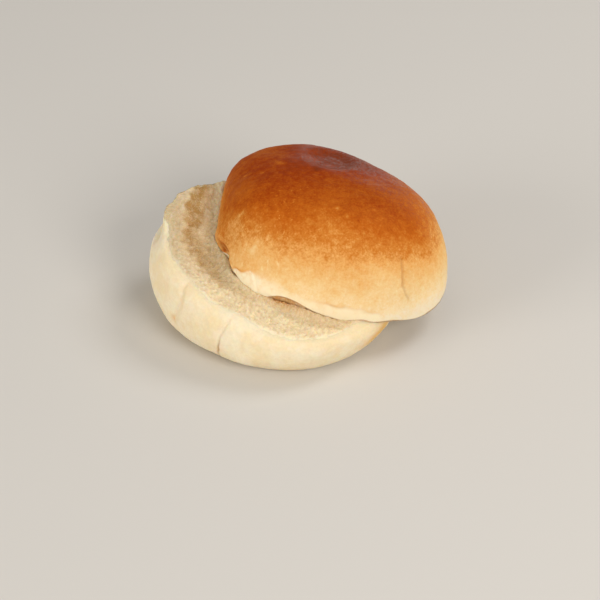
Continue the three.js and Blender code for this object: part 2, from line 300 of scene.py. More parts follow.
def above_cut(points):
    return points[..., 2] - cut_level(points[..., 0], points[..., 1])


def rim_latitude(dough, angle):
    """Latitude at which the skin meets the cut."""
    low = np.full_like(angle, -TAU / 4)
    high = np.full_like(angle, TAU / 4)
    for _ in range(RIM_HALVINGS):
        middle = (low + high) / 2
        over = above_cut(skin_point(dough, angle, middle)) > 0
        high = np.where(over, middle, high)
        low = np.where(over, low, middle)
    return (low + high) / 2


def crease_depth(creases, points, angle):
    """How deep the creases run at each point, and a mask of them from 0 to 1."""
    radius = reach_of(points)
    depth = np.zeros(points.shape[:-1])
    mask = np.zeros(points.shape[:-1])
    for path, deepest, half_width in creases:
        path = sorted(path, key=lambda spot: spot[1])
        degrees, levels = np.transpose(path)
        wander = CREASE_WANDER * swell(points, CREASE_WANDER_LENGTH, 2) * half_width
        aim = np.interp(points[..., 2], levels, degrees)
        sideways = np.radians(turn_between(angle, aim)) * radius + wander
        inside = smoothstep(levels[0] - CREASE_FADE, levels[0], points[..., 2])
        inside = inside * smoothstep(levels[-1] + CREASE_FADE, levels[-1], points[..., 2])
        share = bell(sideways / half_width) * inside
        depth += deepest * share
        mask = np.maximum(mask, share)
    return depth, mask


# ---- The bottom half ----


def bottom_wall(angle, share, creased=True):
    rim = rim_latitude(BOTTOM_DOUGH, angle)
    points = skin_point(BOTTOM_DOUGH, angle, -TAU / 4 + (rim + TAU / 4) * share)
    below = -above_cut(points)
    low = smoothstep(BULGE_TOP_LEVEL, 0, points[..., 2])
    high = smoothstep(HOLLOW_FROM_LEVEL, HOLLOW_TO_LEVEL, points[..., 2])
    relief = SKIN_SWELL * swell(points, SKIN_SWELL_LENGTH, SKIN_SWELL_SEED)
    relief += low * bells_round(BOTTOM_BULGES, angle) - high * bells_round(SIDE_HOLLOWS, angle)
    relief -= bells_round(BOTTOM_FOLDS, angle)
    if creased:
        relief -= crease_depth(BOTTOM_CREASES, points, angle)[0]
        relief += ripples(BOTTOM_RIPPLES, points) - spots_round(RIM_NICKS, points, angle)
    relief *= smoothstep(0, BASE_FADE_HEIGHT, points[..., 2])
    roll = LIP_INSET * np.clip(1 - below / LIP_REACH, 0, 1) ** 2
    edge = smoothstep(RIM_EDGE_REACH, 0, below) * bells_round(RIM_EDGES, angle)
    inset = roll * (1 - bells_round(LIP_FADES, angle)) - edge
    lift = smoothstep(RIM_LIFT_REACH, 0, below) * bells_round(BOTTOM_RIM_LIFTS, angle)
    points = points + skin_normal(BOTTOM_DOUGH, points) * relief[..., None]
    return points - polar(inset, angle, LIP_SAG_SHARE * inset - lift)


def bottom_rim(angle, creased=True):
    return bottom_wall(angle, 1, creased)


def bottom_face(share, angle, rim=None):
    """The torn cut face: up from the rolled lip, hollow in the middle, lumpy inside the rim."""
    if rim is None:
        rim = bottom_rim(angle)
    x, y = rim[..., 0] * share, rim[..., 1] * share
    offset = above_cut(rim) + LIP_DROP * smoothstep(1, LIP_FROM_SHARE, share)
    hollow = CUT_HOLLOW * (1 - share ** CUT_HOLLOW_POWER)
    points = np.stack([x, y, cut_level(x, y) + offset * share ** RIM_POWER - hollow], -1)
    lumps = CRUMB_LUMP * swell(points, CRUMB_LUMP_LENGTH, CRUMB_LUMP_SEED)
    points[..., 2] += (1 - share ** LUMP_FADE_POWER) * lumps
    return points


def bottom_base(share, angle):
    reach = BOTTOM_DOUGH["base"] * plan_radius(BOTTOM_DOUGH, angle)
    return polar(share * reach, angle, 0)


# ---- The top half, in its own dough frame ----


def turn_about(axis, degrees):
    axis = np.array(axis, float)
    axis /= np.linalg.norm(axis)
    x, y, z = axis
    cross = np.array([[0, -z, y], [z, 0, -x], [-y, x, 0]])
    angle = math.radians(degrees)
    return np.eye(3) + math.sin(angle) * cross + (1 - math.cos(angle)) * cross @ cross


TOP_TURN = (
    turn_about((1, 0, 0), TOP_TIP_BACK_DEG)
    @ turn_about((0, 1, 0), TOP_TIP_RIGHT_DEG)
    @ turn_about(CUT_NORMAL, TOP_TURN_DEG)
)
TOP_PIVOT = np.array([0, 0, CUT_LEVEL])
TOP_PLACE = np.array([
    TOP_SLIDE_RIGHT, TOP_SLIDE_BACK, cut_level(TOP_SLIDE_RIGHT, TOP_SLIDE_BACK) + TOP_LIFT,
])


def top_to_roll(points):
    return (points - TOP_PIVOT) @ TOP_TURN.T + TOP_PLACE


def roll_to_top(points):
    return (points - TOP_PLACE) @ TOP_TURN + TOP_PIVOT


def rest_level(x, y):
    """Level that the top half may sink to: the cut face, and a slope that falls past its rim."""
    angle = np.arctan2(y, x)
    rim = bottom_rim(angle, creased=False)
    reach = reach_of(rim)
    share = np.hypot(x, y) / reach
    inside = bottom_face(np.minimum(share, 1), angle, rim)[..., 2]
    return np.where(share > 1, rim[..., 2] - REST_SLOPE * (share - 1) * reach, inside)


def round_front(angle):
    """Degrees round, from -270 to 90, so that no table of the front wraps."""
    return turn_between(angle, -90) - 90


def crust_edge(angle):
    """Height above the cut at which the crust ends over the torn band, 0 where there is none."""
    return along_rows(CRUST_EDGE, round_front(angle))


def ragged_edge(points, angle):
    """The same height with the edge's small tatters."""
    edge = crust_edge(angle)
    return edge + TATTER * swell(points, TATTER_LENGTH, TATTER_SEED) * smoothstep(0, 2, edge)


def band_step(angle):
    """How far the torn band lies in under the crust."""
    return along_rows(BAND_STEPS, round_front(angle))


def band_mask(points, angle, soft):
    ragged = ragged_edge(points, angle)
    mask = smoothstep(ragged + soft, ragged - soft, above_cut(points))
    return mask * smoothstep(*BAND_FADE, crust_edge(angle))


def fold_share(points, angle):
    """The dark fold near the rim of the top half, from 0 to 1 at its deepest."""
    degrees = round_front(angle)
    lifted = above_cut(points) - along_rows(FOLD_HEIGHTS, degrees)
    along = smoothstep(FOLD_FROM_DEG, FOLD_TO_DEG - FOLD_SOFT_DEG, degrees)
    along = along * smoothstep(FOLD_TO_DEG + FOLD_SOFT_DEG, FOLD_TO_DEG, degrees)
    return along * bell(lifted / (FOLD_HALF_WIDTH * (0.5 + along)))


def dimple(points):
    away = np.hypot(points[..., 0] - DIMPLE_RIGHT, points[..., 1] - DIMPLE_BACK) / DIMPLE_RADIUS
    depth = DIMPLE_DEPTH * smoothstep(1, DIMPLE_FLOOR_SHARE, away)
    return np.where(points[..., 2] < DIMPLE_MIN_LEVEL, 0, depth)


def raise_skin(points, angle):
    height = above_cut(points)
    relief = SKIN_SWELL * swell(points, SKIN_SWELL_LENGTH, SKIN_SWELL_SEED + 1)
    relief -= band_step(angle) * band_mask(points, angle, BAND_SOFT) + dimple(points)
    relief -= crease_depth(TOP_CREASES, points, angle)[0]
    relief -= FOLD_DEPTH * fold_share(points, angle)
    relief += ripples(TOP_RIPPLES, points) + patches(TOP_TOUCHES, points)
    bulge = smoothstep(TOP_RIM_BULGE_REACH, 0, height) * bells_round(TOP_RIM_BULGES, angle)
    lift = smoothstep(RIM_LIFT_REACH, 0, height) * bells_round(TOP_RIM_LIFTS, angle)
    points = points + skin_normal(TOP_DOUGH, points) * relief[..., None]
    return points + polar(bulge, angle, lift)


def top_rim(angle):
    return top_wall(angle, 0)


def top_wall(angle, share):
    rim = rim_latitude(TOP_DOUGH, angle)
    crown = math.acos(CROWN_SHARE ** (TOP_DOUGH["shoulder"] / 2))
    return raise_skin(skin_point(TOP_DOUGH, angle, rim + (crown - rim) * share), angle)


def top_crown(share, angle):
    reach = CROWN_SHARE * share
    level = upper_level(TOP_DOUGH, reach)
    return raise_skin(polar(reach * plan_radius(TOP_DOUGH, angle), angle, level), angle)


def top_face(share, angle, rim=None):
    """The underside: hollow like the face it was torn from, and resting clear of it."""
    if rim is None:
        rim = top_rim(angle)
    x, y = rim[..., 0] * share, rim[..., 1] * share
    offset = above_cut(rim) * share ** RIM_POWER
    hollow = CUT_HOLLOW * (1 - share ** CUT_HOLLOW_POWER)
    placed = top_to_roll(np.stack([x, y, cut_level(x, y) + offset + hollow], -1))
    floor = rest_level(placed[..., 0], placed[..., 1]) + TOP_CLEARANCE
    placed[..., 2] = np.maximum(placed[..., 2], floor)
    return roll_to_top(placed)


# ---- Meshes ----

FRONT = -TAU / 4
FRONT_CROWDING = 0.3


def crowd(angle):
    """Moves directions round towards the front, where the finest creases are."""
    return angle - FRONT_CROWDING * np.sin(angle - FRONT)


def disc_grid(cells):
    """A square grid pulled out into a disc: shares, angles, faces and the ids round its rim."""
    steps = np.linspace(-1, 1, cells + 1)
    along, across = np.meshgrid(steps, steps, indexing="ij")
    share = np.maximum(np.abs(across), np.abs(along))
    angle = np.zeros_like(share)
    wide = (np.abs(across) >= np.abs(along)) & (share > 0)
    tall = ~wide & (share > 0)
    half_turn = TAU / 2
    angle[wide] = TAU / 8 * along[wide] / across[wide] + half_turn * (across[wide] < 0)
    angle[tall] = TAU / 4 - TAU / 8 * across[tall] / along[tall] + half_turn * (along[tall] < 0)
    ids = np.arange((cells + 1) ** 2).reshape(cells + 1, cells + 1)
    faces = np.stack([ids[:-1, :-1], ids[:-1, 1:], ids[1:, 1:], ids[1:, :-1]], -1).reshape(-1, 4)
    share, angle = share.ravel(), angle.ravel()
    edge = np.flatnonzero(share == 1)
    rim = np.zeros(4 * cells, int)
    rim[np.round(4 * cells * angle[edge] / TAU).astype(int) % (4 * cells)] = edge
    return share, crowd(angle), [faces], rim


def disc_fan(cells, shares):
    """A disc of a few rings round one middle point, for a face that is plain or out of sight."""
    count = 4 * cells
    angle = crowd(np.arange(count) * TAU / count)
    share = np.repeat(shares, count)
    ids = np.arange(len(shares) * count).reshape(len(shares), count)
    after = np.roll(ids, -1, 1)
    quads = np.stack([ids[1:], ids[:-1], after[:-1], after[1:]], -1).reshape(-1, 4)
    middle = np.full(count, len(share))
    fan = np.stack([middle, ids[-1], after[-1]], -1)
    return np.append(share, 0), np.append(np.tile(angle, len(shares)), 0), [quads, fan], ids[0]


def closed_form(rows, lower, lower_at, wall_at, upper, upper_at):
    """One closed skin: a lower disc, a wall of rings and an upper disc that share their rims.
    Returns its points, faces, and 0, 1 or 2 for each point of the three parts."""
    low_share, low_angle, low_faces, low_rim = lower
    up_share, up_angle, up_faces, up_rim = upper
    angles = low_angle[low_rim]
    low_points = lower_at(low_share, low_angle)
    up_points = upper_at(up_share, up_angle)
    turns, shares = np.meshgrid(angles, np.arange(1, rows) / rows)
    wall_points = wall_at(turns, shares).reshape(-1, 3)
    low_count, wall_count = len(low_points), len(wall_points)
    up_start = low_count + wall_count
    wall_ids = low_count + np.arange(wall_count).reshape(rows - 1, len(angles))
    rings = np.concatenate([low_rim[None], wall_ids, up_start + up_rim[None]])
    after = np.roll(rings, -1, 1)
    wall = np.stack([rings[:-1], after[:-1], after[1:], rings[1:]], -1).reshape(-1, 4)
    faces = [face[:, ::-1] for face in low_faces] + [wall] + [face + up_start for face in up_faces]
    part = np.repeat([0, 1, 2], [low_count, wall_count, len(up_points)])
    return np.concatenate([low_points, wall_points, up_points]), faces, part


def new_piece(name, points, faces, attributes):
    """A smooth mesh object from points in mm, with one float attribute for each entry."""
    mesh = bpy.data.meshes.new(name)
    corners = [corner for face in faces for corner in face.tolist()]
    mesh.from_pydata((points * MM).tolist(), [], corners, shade_flat=False)
    for label, values in attributes.items():
        layer = mesh.attributes.new(label, "FLOAT", "POINT")
        layer.data.foreach_set("value", np.asarray(values, np.float32))
    if mesh.validate():
        raise RuntimeError(name + " has faulty faces")
    piece = bpy.data.objects.new(name, mesh)
    bpy.context.scene.collection.objects.link(piece)
    return piece


def settle(piece, node, material):
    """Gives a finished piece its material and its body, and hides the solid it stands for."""
    if not piece.data.materials:
        piece.data.materials.append(material)
    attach(piece, BODY)
    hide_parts(node)


# ---- Shader building ----


class Value:
    """An output of a node, which can be added, taken away, multiplied and divided by."""

    def __init__(self, tree, socket):
        self.tree = tree
        self.socket = socket

    def __add__(self, other):
        return self.tree.math("ADD", self, other)

    def __sub__(self, other):
        return self.tree.math("SUBTRACT", self, other)

    def __rsub__(self, other):
        return self.tree.math("SUBTRACT", other, self)

    def __mul__(self, other):
        return self.tree.math("MULTIPLY", self, other)

    def __rtruediv__(self, other):
        return self.tree.math("DIVIDE", other, self)


class Tree:
    """Adds nodes to a node tree and links them."""

    def __init__(self, tree):
        self.tree = tree

    def put(self, value, socket):
        """Links a value to a socket, or sets the socket to a constant."""
        if isinstance(value, Value):
            self.tree.links.new(value.socket, socket)
        else:
            socket.default_value = opaque(value) if socket.type == "RGBA" else value

    def fill(self, made, values):
        for name, value in values.items():
            self.put(value, made.inputs[name])

    def node(self, kind, values=None, **settings):
        made = self.tree.nodes.new(kind)
        for name, value in settings.items():
            setattr(made, name, value)
        self.fill(made, values or {})
        return made

    def value(self, kind, values=None, output=0, **settings):
        """Adds a node and returns one of its outputs."""
        return Value(self, self.node(kind, values, **settings).outputs[output])

    def outputs(self, made):
        return {socket.name: Value(self, socket) for socket in made.outputs}

    def group(self, group, *numbers):
        """Places a node group with numbers for its inputs in turn. Returns its outputs by name."""
        made = self.node("ShaderNodeGroup", dict(enumerate(numbers)), node_tree=group)
        return self.outputs(made)

    def math(self, operation, first, second, clamp=False):
        return self.value(
            "ShaderNodeMath", {0: first, 1: second}, operation=operation, use_clamp=clamp,
        )

    def vector(self, operation, first, second):
        return self.value("ShaderNodeVectorMath", {0: first, 1: second}, operation=operation)

    def blend(self, share, first, second, blend_type="MIX"):
        return self.value(
            "ShaderNodeMix", {0: share, 6: first, 7: second}, 2, data_type="RGBA",
            blend_type=blend_type,
        )

    def tint(self, name, colour, tint, blend_type="MIX"):
        """Blends a tint in as far as a vertex attribute says."""
        return self.blend(self.attribute(name), colour, tint, blend_type)

    def remap(self, value, low, high, new_low=0.0, new_high=1.0):
        values = {"Value": value, "From Min": low, "From Max": high,
                  "To Min": new_low, "To Max": new_high}
        return self.value("ShaderNodeMapRange", values, interpolation_type="SMOOTHSTEP")

    def attribute(self, name):
        return self.value("ShaderNodeAttribute", output="Fac", attribute_name=name)

    def place(self):
        return self.value("ShaderNodeTexCoord", output="Object")

    def drawn(self, place, share):
        """Coordinates that draw a texture out upwards."""
        return self.value("ShaderNodeMapping", {"Vector": place, "Scale": (1.0, 1.0, share)})

    def noise(self, coordinates, scale, detail=3.0, roughness=0.55):
        values = {"Vector": coordinates, "Scale": scale, "Detail": detail,
                  "Roughness": roughness, "Distortion": 0.0}
        return self.value("ShaderNodeTexNoise", values)


def new_group(name, kind, inputs, outputs):
    """A node group. Each input and output is a name with a default number or a kind of socket."""
    group = bpy.data.node_groups.new(name, kind)
    for side, rows in (("INPUT", inputs), ("OUTPUT", outputs)):
        for label, given in rows:
            is_number = not isinstance(given, str)
            socket_type = "NodeSocket" + ("Float" if is_number else given)
            socket = group.interface.new_socket(label, in_out=side, socket_type=socket_type)
            if is_number:
                socket.default_value = given
    tree = Tree(group)
    start = tree.outputs(tree.node("NodeGroupInput"))
    return group, tree, start, tree.node("NodeGroupOutput")


def mottle_group():
    """Uneven browning: broad patches, small blotches and fine specks, each about 0 to 1."""
    name = "Dough Mottle"
    if name in bpy.data.node_groups:
        return bpy.data.node_groups[name]
    inputs = [("Patch Size", 0.012), ("Blotch Size", 0.003), ("Speck Size", 0.0008)]
    outputs = [("Patches", "Float"), ("Blotches", "Float"), ("Specks", "Float")]
    group, tree, start, end = new_group(name, "ShaderNodeTree", inputs, outputs)
    place = tree.place()
    for (size, _), (output, _), detail in zip(inputs, outputs, (3.0, 4.0, 2.0)):
        tree.put(tree.noise(place, 1.0 / start[size], detail, 0.6), end.inputs[output])
    return group


def grain_group():
    """The height of fine relief: wrinkles drawn out up the side, and a leathery grain."""
    name = "Skin Grain"
    if name in bpy.data.node_groups:
        return bpy.data.node_groups[name]
    inputs = [("Wrinkle Size", 0.002), ("Wrinkle Depth", 0.0001), ("Grain Size", 0.0006),
              ("Grain Depth", 0.00003)]
    group, tree, start, end = new_group(name, "ShaderNodeTree", inputs, [("Height", "Float")])
    place = tree.place()
    drawn = tree.drawn(place, 0.45)
    wrinkles = tree.noise(drawn, 1.0 / start["Wrinkle Size"], 4.0, 0.6) * start["Wrinkle Depth"]
    grain = tree.noise(place, 1.0 / start["Grain Size"], 4.0, 0.6) * start["Grain Depth"]
    tree.put(wrinkles + grain, end.inputs["Height"])
    return group


def new_material(name):
    material = bpy.data.materials.new(name)
    material.use_nodes = True
    material.node_tree.nodes.clear()
    tree = Tree(material.node_tree)
    shader = tree.node("ShaderNodeBsdfPrincipled")
    tree.node("ShaderNodeOutputMaterial", {"Surface": Value(tree, shader.outputs[0])})
    return material, tree, shader


def finish_shader(tree, shader, values, soft, depth, height):
    """Fills in a shader, with light let into the bread by about this depth, red light furthest."""
    bump = tree.value("ShaderNodeBump", {"Height": height, "Strength": 1.0, "Distance": 1.0})
    tree.fill(shader, {
        **values, "Subsurface Weight": soft, "Subsurface Radius": (1.0, 0.5, 0.2),
        "Subsurface Scale": depth, "Normal": bump,
    })


# ---- Settings ----


def colour_property(name, description, default):
    return bpy.props.FloatVectorProperty(
        name=name, description=description, subtype="COLOR", size=3, min=0, max=1,
        default=default,
    )


def length_property(name, description, default):
    return bpy.props.FloatProperty(
        name=name, description=description, subtype="DISTANCE", unit="LENGTH", min=0,
        default=default,
    )


def power_property(name, description, default):
    return bpy.props.FloatProperty(
        name=name, description=description, subtype="POWER", unit="POWER", min=0, default=default,
    )


def opaque(colour):
    return (*colour, 1.0)


# The dough level in mm at which each browning colour sits, from the rim to the crown
BAKE_LEVELS = {
    "rim": 15, "foot": 22, "side": 28, "waist": 34, "flank": 40, "shoulder": 46, "brow": 52,
    "crown": 62, "dimple": 70,
}


def bake_share(level):
    low, high = BAKE_LEVELS["rim"], BAKE_LEVELS["dimple"]
    return (level - low) / (high - low)


class RollCrustSettings(bpy.types.PropertyGroup):
    rim_colour: colour_property("Rim", "Skin at the rim of the top half", (0.88, 0.74, 0.52))
    foot_colour: colour_property("Foot", "Skin just above the rim", (0.865, 0.655, 0.365))
    side_colour: colour_property("Side", "Golden lower side", (0.83, 0.57, 0.265))
    waist_colour: colour_property("Waist", "Side half way up", (0.79, 0.465, 0.172))
    flank_colour: colour_property("Flank", "Orange below the shoulder", (0.735, 0.355, 0.098))
    shoulder_colour: colour_property("Shoulder", "Brown shoulder", (0.59, 0.20, 0.028))
    brow_colour: colour_property("Brow", "Red brown above the shoulder", (0.49, 0.115, 0.008))
    crown_colour: colour_property("Crown", "Darkest crown", (0.31, 0.04, 0.002))
    dimple_colour: colour_property("Dimple", "Darkest brown, in the dimple", (0.19, 0.028, 0.003))
    edge_colour: colour_property("Crust edge", "Crust's end over the torn band", (0.72, 0.33, 0.08))
    # Colour of the dark fold, and of the painted shade at the notch and on the hidden underside
    fold_and_shade_colour: colour_property("Fold", "Dark fold at the edge", (0.40, 0.095, 0.01))
    band_colour: colour_property("Torn band", "Pale torn band under the crust", (0.90, 0.74, 0.48))
    skin_colour: colour_property("Pale skin", "Skin of the bottom half", (0.88, 0.77, 0.555))
    skin_warm_colour: colour_property("Warm skin", "Its warmer patches", (0.84, 0.68, 0.42))
    lip_colour: colour_property("Lip", "Whitish rolled edge", (0.89, 0.775, 0.55))
    toast_colour: colour_property("Toasted", "Toasted spots on the pale skin", (0.80, 0.48, 0.16))
    # Colour of the painted shade in the creases
    crease_shade_colour: colour_property("Crack", "Baked brown inside creases", (0.42, 0.20, 0.06))
    wrinkle_depth: length_property("Wrinkle depth", "Depth of the fine wrinkles", 0.00012)


class RollCrumbSettings(bpy.types.PropertyGroup):
    crumb_colour: colour_property("Crumb", "Torn crumb", (0.905, 0.78, 0.54))
    buttery_colour: colour_property("Buttery", "Yellower patches of the crumb", (0.90, 0.735, 0.43))
    # Colour of the painted shade in the pits between the tufts
    pit_shade_colour: colour_property("Pores", "Down between the tufts", (0.685, 0.49, 0.255))
    # Tint of the painted shadow that the top half casts on the crumb beside it
    shade_tint: colour_property("Moist", "Moist crumb beside the top half", (0.50, 0.35, 0.18))
    # Tint of a greyer painted shade over the crumb at the high left
    dull_tint: colour_property("Dull", "Duller crumb at the high left", (0.80, 0.83, 0.88))
    # Colour of the painted shade in the crumb under the top half's notch
    under_shade_colour: colour_property("Deep", "Browned crumb under the top half", (0.50, 0.215, 0.045))
    coarse_size: length_property("Lump size", "Size of the lumps of crumb", 0.0045)
    coarse_depth: length_property("Lump depth", "Height of the lumps", 0.0004)
    tuft_size: length_property("Tuft size", "Size of the torn tufts", 0.0014)
    tuft_depth: length_property("Tuft depth", "Height of the tufts", 0.0004)


class RollStageSettings(bpy.types.PropertyGroup):
    floor_colour: colour_property("Floor", "Plain pale floor", (0.66, 0.63, 0.585))
    sky_strength: bpy.props.FloatProperty(
        name="Sky", description="Strength of the even light from all round", min=0, default=0.37,
    )
    key_power: power_property("Key light", "Large soft light in front at the right", 11)
    fill_power: power_property("Fill light", "Soft low light at the left in front", 8.5)
    back_power: power_property("Back light", "Faint low light behind, for the crown's sheen", 0.45)
    top_power: power_property("Top light", "Soft light above at the right, a little behind", 5)


# ---- Materials ----


def baked_crust_material(settings):
    """Thin egg-washed crust: browned by height, mottled, glossy on the crown."""
    material, tree, shader = new_material("baked_crust")
    mottle = tree.group(mottle_group(), 0.013, 0.0027, 0.0008)
    place = tree.place()
    bake = tree.attribute("bake")
    for output, amount in (("Patches", 0.12), ("Blotches", 0.27), ("Specks", 0.22)):
        bake = bake + (mottle[output] - 0.5) * amount
    # Painted sheen: pale streaks drawn upwards at the front, and pale glints in the orange zone
    streaks = tree.remap(tree.noise(tree.drawn(place, 0.2), 800.0, 2.0, 0.5), 0.57, 0.75)
    streaks = streaks * tree.attribute("film")
    flecks = tree.remap(tree.noise(place, 850.0, 3.0, 0.6), 0.54, 0.78)
    flecks = flecks * (tree.remap(bake, 0.25, 0.43) * tree.remap(bake, 0.7, 0.52))
    bake = bake - streaks * 0.13 - flecks * 0.085
    ramp = tree.node("ShaderNodeValToRGB", {"Fac": bake})
    elements = ramp.color_ramp.elements
    while len(elements) < len(BAKE_LEVELS):
        elements.new(0.5)
    for index, (name, level) in enumerate(BAKE_LEVELS.items()):
        elements[index].position = bake_share(level)
        elements[index].color = opaque(getattr(settings, name + "_colour"))
    band = tree.attribute("band") * tree.remap(mottle["Blotches"], 0.42, 0.68, 1.0, 0.55)
    torn = tree.tint("film", settings.band_colour, settings.lip_colour)
    colour = tree.blend(band, Value(tree, ramp.outputs[0]), torn)
    colour = tree.tint("edge", colour, settings.edge_colour)
    # The dark fold at the left, and painted shade at the notch and on the hidden underside
    colour = tree.tint("burn", colour, settings.fold_and_shade_colour)
    # Painted shade in the crease
    colour = tree.tint("crease", colour, settings.crease_shade_colour, "MULTIPLY")
    gloss = tree.remap(bake, 0.3, 0.8) * (1.0 - band)
    coat = gloss * tree.remap(mottle["Specks"], 0.4, 0.62, 0.08, 0.75) * tree.attribute("glaze")
    grain = tree.group(grain_group(), 0.0021, settings.wrinkle_depth, 0.00055, 0.00006)
    finish_shader(tree, shader, {
        "Base Color": colour, "Roughness": 0.66 - gloss * 0.2 + mottle["Blotches"] * 0.08,
        "Coat Weight": coat, "Coat Roughness": 0.26, "Specular IOR Level": 0.03,
    }, 0.12, 0.002, grain["Height"])
    return material


def pale_crust_material(settings):
    """Soft matt cream skin with warmer patches, a whitish lip and painted shade in the creases."""
    material, tree, shader = new_material("pale_crust")
    mottle = tree.group(mottle_group(), 0.011, 0.0026, 0.0009)
    warm = tree.remap(mottle["Patches"], 0.35, 0.75) + (mottle["Blotches"] - 0.42) * 1.6
    warm = tree.math("ADD", warm, tree.attribute("warm"), clamp=True)
    colour = tree.blend(warm, settings.skin_colour, settings.skin_warm_colour)
    # The whitish lip: its own paler colour, and a painted highlight at the front
    colour = tree.tint("lip", colour, settings.lip_colour)
    colour = tree.tint("toast", colour, settings.toast_colour)
    # Painted shade in the crack
    colour = tree.tint("crease", colour, settings.crease_shade_colour)
    shade = tree.remap(mottle["Specks"], 0.3, 0.7, 0.97, 1.02)
    grain = tree.group(grain_group(), 0.0032, settings.wrinkle_depth, 0.0007, 0.00002)
    finish_shader(tree, shader, {
        "Base Color": tree.vector("MULTIPLY", colour, shade),
        "Roughness": tree.remap(mottle["Blotches"], 0.3, 0.7, 0.62, 0.78),
        "Specular IOR Level": 0.35,
    }, 0.35, 0.003, grain["Height"])
    return material


def crumb_material(settings, crust):
    """Matt torn crumb: cream tufts over tan painted shade in the pits, smooth and whitish at the
    lip.
    """
    name = "crumb"
    if name in bpy.data.materials:
        return bpy.data.materials[name]
    material, tree, shader = new_material(name)
    mottle = tree.group(mottle_group(), 0.009, 0.0028, 0.0005)
    place = tree.place()
    torn_way = tree.value("ShaderNodeMapping", {
        "Vector": place, "Rotation": (0, 0, math.radians(50)), "Scale": (4.0, 1.0, 1.0),
    }, vector_type="TEXTURE")
    # Painted shade in the pits between the tufts, with random mottling
    pit = tree.attribute("pit") + mottle["Specks"] * 0.5 + mottle["Patches"] * 0.25
    colour = tree.blend(tree.remap(pit, 0.43, 1.57), settings.crumb_colour, settings.pit_shade_colour)
    buttery = tree.remap(mottle["Blotches"], 0.42, 0.62, 0.0, 0.45)
    colour = tree.blend(buttery, colour, settings.buttery_colour)
    # The whitish lip: its own paler colour, and a painted highlight at the front
    colour = tree.tint("lip", colour, crust.lip_colour)
    # Painted shadow of the top half on the crumb beside it, unevenly spread
    grit = tree.remap(mottle["Blotches"] + mottle["Specks"], 0.7, 1.3, 0.7, 1.2)
    painted_shadow = tree.attribute("shade") * grit
    colour = tree.blend(painted_shadow, colour, settings.shade_tint, "MULTIPLY")
    # Greyer painted shade over the crumb at the high left
    colour = tree.tint("dull", colour, settings.dull_tint, "MULTIPLY")
    # Painted shade under the top half's notch, broken into threads
    threads = tree.noise(tree.drawn(place, 0.2), 1500.0, 2.0, 0.6)
    deep = tree.attribute("deep") * tree.remap(threads, 0.4, 0.6, 0.5, 1.0)
    grain = tree.group(grain_group(), 0.0011, 0.00008, 0.0005, 0.00008)
    strands = tree.noise(torn_way, 1500.0, 3.0, 0.6) * 0.0002
    finish_shader(tree, shader, {
        "Base Color": tree.blend(deep, colour, settings.under_shade_colour),
        "Roughness": tree.remap(mottle["Blotches"], 0.3, 0.7, 0.85, 0.98),
        "Specular IOR Level": 0.2,
    }, 0.4, 0.001, grain["Height"] + strands)
    return material


# ---- The crumb's relief ----


def relief_tree():
    """Geometry nodes that tear a smooth face up into lumps and tufts where its mask allows."""
    name = "Torn Crumb"
    if name in bpy.data.node_groups:
        return bpy.data.node_groups[name]
    group, tree, start, end = new_group(name, "GeometryNodeTree", [
        ("Geometry", "Geometry"), ("Lump Size", 0.004), ("Lump Depth", 0.001),
        ("Tuft Size", 0.0016), ("Tuft Depth", 0.0008), ("Seed", 0.0), ("Stretch", "Vector"),
        ("Material", "Material"),
    ], [("Geometry", "Geometry")])
    shift = tree.value("ShaderNodeCombineXYZ", {"X": start["Seed"], "Y": 0.37})
    place = tree.vector("ADD", tree.value("GeometryNodeInputPosition"), shift)
    place = tree.vector("DIVIDE", place, start["Stretch"])
    lumps = tree.noise(place, 1.0 / start["Lump Size"], 2.0, 0.5)
    fineness = 1.0 / start["Tuft Size"]
    ragged = tree.noise(place, fineness, 3.0, 0.62)
    bent = tree.value("ShaderNodeTexNoise", {"Vector": place, "Scale": 700.0}, "Color")
    bent = tree.value("ShaderNodeVectorMath", {0: bent, "Scale": 0.0012}, operation="SCALE")
    cells = tree.value("ShaderNodeTexVoronoi", {
        "Vector": tree.vector("ADD", bent, place), "Scale": fineness, "Smoothness": 0.35,
    }, "Distance", feature="SMOOTH_F1")
    tufts = tree.remap(ragged, 0.28, 0.74, 0.0, 0.65) + tree.remap(cells, 0.7, 0.1, 0.0, 0.35)
    mask = tree.value("GeometryNodeInputNamedAttribute", {"Name": "torn"}, data_type="FLOAT")
    rise = (tufts - 0.45) * start["Tuft Depth"] * 1.6
    height = ((lumps - 0.5) * start["Lump Depth"] * 3.0 + rise) * mask
    offset = tree.value("ShaderNodeVectorMath", {
        0: tree.value("GeometryNodeInputNormal"), "Scale": height,
    }, operation="SCALE")
    # The pits' mask, which the crumb's shader paints with shade
    pit = (1.0 - (tufts * 0.7 + lumps * 0.3)) * mask
    made = tree.value("GeometryNodeStoreNamedAttribute", {
        "Geometry": start["Geometry"], "Name": "pit", "Value": pit,
    }, data_type="FLOAT", domain="POINT")
    made = tree.value("GeometryNodeSetPosition", {"Geometry": made, "Offset": offset})
    made = tree.value("GeometryNodeRealizeInstances", {"Geometry": made})
    made = tree.value("GeometryNodeSetMaterial", {"Geometry": made, "Material": start["Material"]})
    tree.put(made, end.inputs["Geometry"])
    return group


def bake_nodes(piece, group, values):
    """Runs a node group on a piece and keeps the result as its plain mesh."""
    modifier = piece.modifiers.new(group.name, "NODES")
    modifier.node_group = group
    for item in group.interface.items_tree:
        if item.item_type == "SOCKET" and item.in_out == "INPUT" and item.name in values:
            modifier[item.identifier] = values[item.name]
    scene_graph = bpy.context.evaluated_depsgraph_get()
    result = bpy.data.meshes.new_from_object(piece.evaluated_get(scene_graph))
    result.name = piece.name
    old = piece.data
    piece.modifiers.clear()
    piece.data = result
    bpy.data.meshes.remove(old)


# ---- Operators ----

